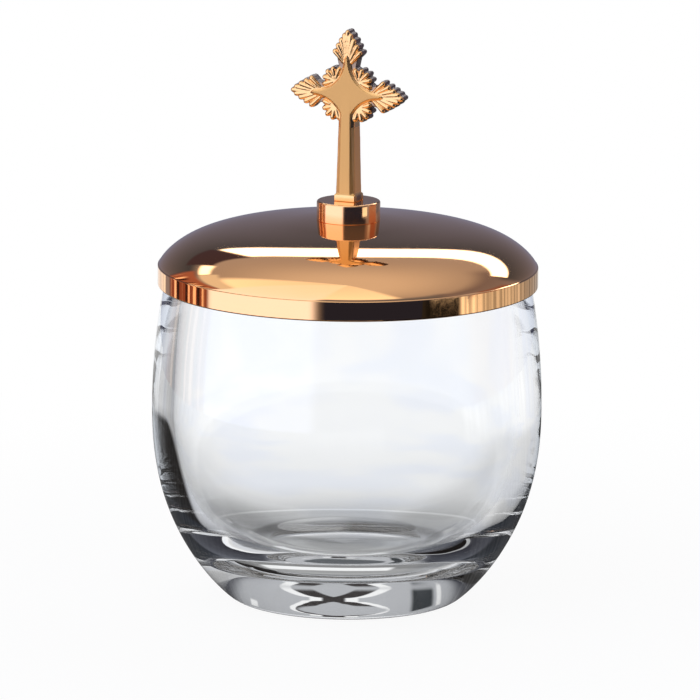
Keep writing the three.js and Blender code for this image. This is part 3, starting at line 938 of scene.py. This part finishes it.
# Through the glass the floor shows a painted shadow of the cup under the foot, darker to the left
# and the right, with rings of painted light and shade round the foot, and at the left a painted
# dark crescent that only the glass's side catches. Fades have a start and an end, and some the two
# values that they join; rings have a radius, half a width and a strength.
FOOT_FADE = (0, 66)
FOOT_PAINTED_SHADOW = (0.3, 0.95)
FAR_LIFT = (60, 150, 0, 0.1)
LEFT_PAINTED_SHADOW = 0.58
LEFT_DIP_TURNS = (-143, -104, 40)
RIGHT_PAINTED_SHADOW = 0.22
RIGHT_DIP_TURNS = (100, 156, 14)
RIGHT_DIP_REACH = (160, 120)
PAINTED_RINGS = ((32, 0.7, 0.35), (19, 2, -0.4), (10, 2, 0.25))
GLINT_TURNS = (-60, 32, 8)
GLINT_REACH = (15.3, 18.6, 0.6)
FLOOR_TINT = ((0.93, 0.95, 1), WHITE)
TINT_SCALE = 28
TINT_FADE = (0.4, 0.55)

# Painted shade: a dark crescent painted on the floor at the left, seen only through the glass's
# side; its edge's turn is a slope times the distance, plus a start
PAINTED_CRESCENT = (0.012, 0.01, 0.009)
CRESCENT_EDGE = (-0.26, -91)
CRESCENT_SOFTNESS = (-3, 3)
CRESCENT_END = (-170, -160)
CRESCENT_REACH = (185, 150)
CRESCENT_PASSES = (3, 2)

# In mirrors the floor is dark by the cup, then a table top with a grain of streaks, and with
# painted light and shade in sectors (start, end, softness and factor)
GLOSS_FADE = (150, 290, 0.08, 0.6)
GRAIN_SCALE = 0.35
GRAIN_LIGHT = (0.7, 1.35)
TABLE_LIGHT_AND_SHADE = ((126, 162, 12, 0.6), (-183, -139, 4, 1.5), (20, 68, 3, 0.03), (69, 84, 4, 1.7))


# How far the floor reaches from the axis
def floor_reach(turn):
    off = math.radians(turn - FLOOR_SHIFT_TURN)
    sideways = FLOOR_SHIFT * math.sin(off)
    reach = FLOOR_SHIFT * math.cos(off) + math.sqrt(FLOOR_RADIUS ** 2 - sideways ** 2)
    return max([reach] + [least for start, end, least in FLOOR_SECTORS if start <= turn <= end])


disc = []
for turn in range(-180, 180, FLOOR_STEP):
    a = math.radians(turn)
    spot = (toward * math.cos(a) + aside * math.sin(a)) * floor_reach(turn)
    disc.append((spot.x, spot.y, -FLOOR_DROP))
floor = new_object("floor", disc, [tuple(range(len(disc)))])

ground = Look("floor")
ground.set("Base Color", FLOOR_PAINT)
ground.set("Roughness", FLOOR_ROUGHNESS)
path = ground.source("ShaderNodeLightPath")
place = ground.source("ShaderNodeNewGeometry")["Position"]
distance = ground.math("DIVIDE", ground.vector("LENGTH", place), MM)
turned_to = ground.azimuth(place)

# Through the glass: painted shadow round the foot, rings of painted light and shade, and a glint
painted_light_and_shade = ground.fade(distance, *FOOT_FADE, *FOOT_PAINTED_SHADOW)
painted_light_and_shade = ground.math("ADD", painted_light_and_shade, ground.fade(distance, *FAR_LIFT))
# Painted shadow, darker to the left and to the right of the cup
painted_light_and_shade = ground.times(painted_light_and_shade, ground.window(turned_to, *LEFT_DIP_TURNS, turning=True), 1 - LEFT_PAINTED_SHADOW)
right_painted_shadow = ground.product(ground.window(turned_to, *RIGHT_DIP_TURNS, turning=True),
                           ground.fade(distance, *RIGHT_DIP_REACH))
painted_light_and_shade = ground.times(painted_light_and_shade, right_painted_shadow, 1 - RIGHT_PAINTED_SHADOW)
# Rings of painted light and shade round the foot
for radius, half, strength in PAINTED_RINGS:
    ring = ground.window(distance, radius - half, radius + half, half)
    painted_light_and_shade = ground.times(painted_light_and_shade, ring, 1 + strength)
glint = ground.product(ground.window(turned_to, *GLINT_TURNS, turning=True),
                       ground.window(distance, *GLINT_REACH))
painted_light_and_shade = ground.math("MAXIMUM", painted_light_and_shade, glint)
tint = ground.mix(ground.fade(ground.noise(place, TINT_SCALE), *TINT_FADE), *FLOOR_TINT)
# Painted shade: the dark crescent, seen through the glass
edge = ground.math("MULTIPLY_ADD", distance, *CRESCENT_EDGE)
dark = ground.product(ground.fade(ground.math("SUBTRACT", edge, turned_to), *CRESCENT_SOFTNESS),
                      ground.fade(turned_to, *CRESCENT_END),
                      ground.fade(distance, *CRESCENT_REACH),
                      ground.fade(path["Transmission Depth"], *CRESCENT_PASSES))
through = ground.mix(dark, ground.vector("MULTIPLY", tint, painted_light_and_shade), PAINTED_CRESCENT)

# In mirrors
streaks = ground.fade(ground.noise(turned_to, GRAIN_SCALE, line=True), *NOISE_MIDDLE, *GRAIN_LIGHT)
table = ground.product(ground.fade(distance, *GLOSS_FADE), streaks)
# Painted light and shade in sectors of the table
for start, end, soft, factor in TABLE_LIGHT_AND_SHADE:
    table = ground.times(table, ground.window(turned_to, start, end, soft, turning=True), factor)

# A ray that goes through glass is glossy too, so the mirrored rays are the glossy ones less those
in_mirror = ground.math("SUBTRACT", path["Is Glossy Ray"], path["Is Transmission Ray"])
in_mirror = ground.math("MAXIMUM", in_mirror, 0)
colour = ground.mix(path["Is Transmission Ray"], WHITE, through)
colour = ground.mix(in_mirror, colour, table)
bright = ground.nodes.new("ShaderNodeEmission")
ground.feed(bright.inputs["Color"], colour)
seen = ground.product(path["Is Camera Ray"], ground.fade(distance, *FLOOR_FADE, FLOOR_WHITE, 1))
seen = ground.math("MAXIMUM", seen, path["Is Transmission Ray"])
mixed = ground.nodes.new("ShaderNodeMixShader")
for socket, value in zip(mixed.inputs, (ground.math("MAXIMUM", seen, in_mirror),
                                        ground.shader.outputs["BSDF"],
                                        bright.outputs["Emission"])):
    ground.feed(socket, value)
ground.feed(ground.nodes["Material Output"].inputs["Surface"], mixed.outputs["Shader"])
floor.data.materials.append(ground.material)

# Light goes many times round in the glass
LIGHT_BOUNCES = 44
cycles = bpy.context.scene.cycles
cycles.max_bounces = LIGHT_BOUNCES
cycles.transmission_bounces = LIGHT_BOUNCES
cycles.glossy_bounces = LIGHT_BOUNCES

bpy.context.scene.view_settings.view_transform = "Standard"
